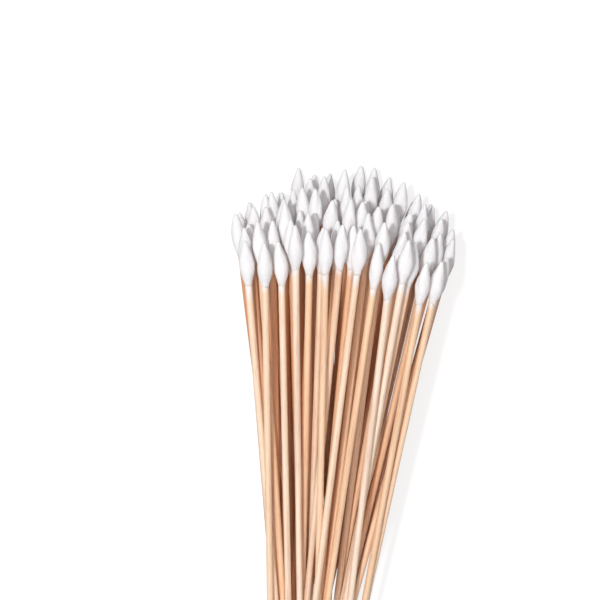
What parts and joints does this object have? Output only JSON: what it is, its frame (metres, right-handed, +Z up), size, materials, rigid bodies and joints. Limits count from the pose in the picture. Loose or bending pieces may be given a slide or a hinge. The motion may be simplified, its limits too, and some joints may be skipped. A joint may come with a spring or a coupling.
{
  "type": "bunch of pointed cotton swabs",
  "caption": "Loose bunch of long single-ended swabs with pointed cotton buds on plain wooden sticks, lying on its side with the buds fanned out.",
  "frame": {"origin": "middle of the bunch's footprint, on the surface it lies on", "axes": "+Y along the sticks toward the buds, +X across the bunch, +Z up"},
  "size_m": [0.0786, 0.1725, 0.0526],
  "materials": {
    "stick": "matte",
    "cotton": "matte"
  },
  "bodies": {
    "root": {"sticks_1": "stick", "buds_1": "cotton", "sticks_2": "stick", "buds_2": "cotton", "sticks_3": "stick", "buds_3": "cotton", "sticks_4": "stick", "buds_4": "cotton", "sticks_5": "stick", "buds_5": "cotton", "sticks_6": "stick", "buds_6": "cotton", "sticks_7": "stick", "buds_7": "cotton", "sticks_8": "stick", "buds_8": "cotton", "sticks_9": "stick", "buds_9": "cotton", "sticks_10": "stick", "buds_10": "cotton", "sticks_11": "stick", "buds_11": "cotton", "sticks_12": "stick", "buds_12": "cotton"}
  },
  "joints": []
}
